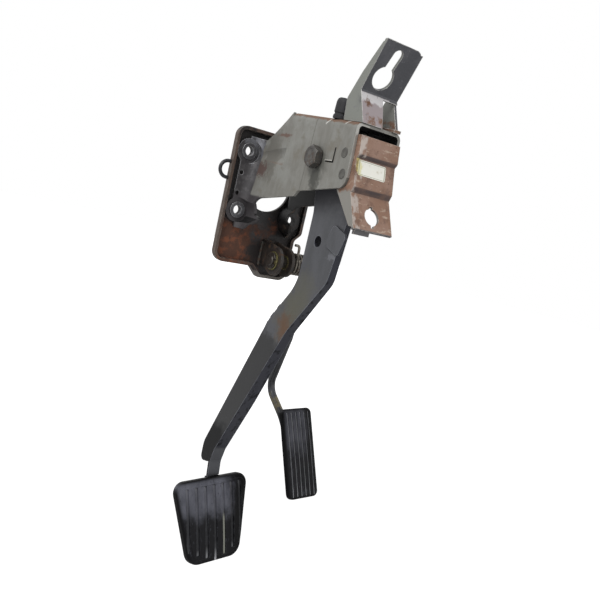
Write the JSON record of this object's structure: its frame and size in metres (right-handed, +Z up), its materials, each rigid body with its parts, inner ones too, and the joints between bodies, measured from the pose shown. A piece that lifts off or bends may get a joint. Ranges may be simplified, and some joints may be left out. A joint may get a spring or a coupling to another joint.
{
  "type": "car pedal assembly",
  "caption": "Hanging brake and accelerator pedals on a folded steel pedal box with a dished firewall plate, return springs and mounting brackets.",
  "frame": {"origin": "front face of the firewall plate, at the centre of its four bolt holes", "axes": "+X back towards the driver, +Y towards the accelerator side, +Z up"},
  "size_m": [0.1796, 0.1511, 0.5015],
  "materials": {
    "box_paint": "worn grey paint over steel",
    "plate_paint": "rusted dark paint",
    "rust_paint": "rusted primer",
    "dark_paint": "satin dark grey paint",
    "black_paint": "satin black paint",
    "bolt_steel": "dull zinc plate",
    "spring_steel": "dark oiled wire",
    "bush_metal": "tarnished brass",
    "pad_rubber": "moulded black rubber",
    "buffer_rubber": "moulded black rubber"
  },
  "bodies": {
    "pedal_box": {"firewall_plate": "plate_paint", "harness_loop": "black_paint", "box_channel": "box_paint", "boss_washers": "bolt_steel", "rear_bracket": "rust_paint", "upper_bracket": "box_paint", "bump_stop": "buffer_rubber", "pivot_bolt": "bolt_steel", "pivot_washer": "bolt_steel", "pivot_nut": "bolt_steel", "pivot_sleeve": "bolt_steel", "accel_bracket": "plate_paint", "accel_bushes": "bush_metal", "brake_return_spring": "spring_steel", "accel_spring": "spring_steel"},
    "brake": {"brake_hub": "dark_paint", "brake_bushes": "bush_metal", "brake_arm": "dark_paint", "striker_tab": "dark_paint", "brake_pad_plate": "dark_paint", "brake_pad_rubber": "pad_rubber"},
    "accelerator": {"accel_shaft": "bolt_steel", "accel_clip": "bolt_steel", "accel_lever": "dark_paint", "accel_rod": "black_paint", "accel_pad_plate": "dark_paint", "accel_pad_rubber": "pad_rubber"}
  },
  "joints": [
    {"name": "brake_hinge", "type": "hinge", "parent": "pedal_box", "child": "brake", "pos_m": [0.108, 0, 0.03], "axis": [0, 1, 0], "range_deg": [0, 18], "stiffness_Nm_per_rad": 6, "springref_deg": -20.05, "deforming": ["brake_return_spring"]},
    {"name": "accelerator_hinge", "type": "hinge", "parent": "pedal_box", "child": "accelerator", "pos_m": [0.03, 0, -0.067], "axis": [0, 1, 0], "range_deg": [0, 16], "stiffness_Nm_per_rad": 2.5, "springref_deg": -28.65, "deforming": ["accel_spring"]}
  ]
}
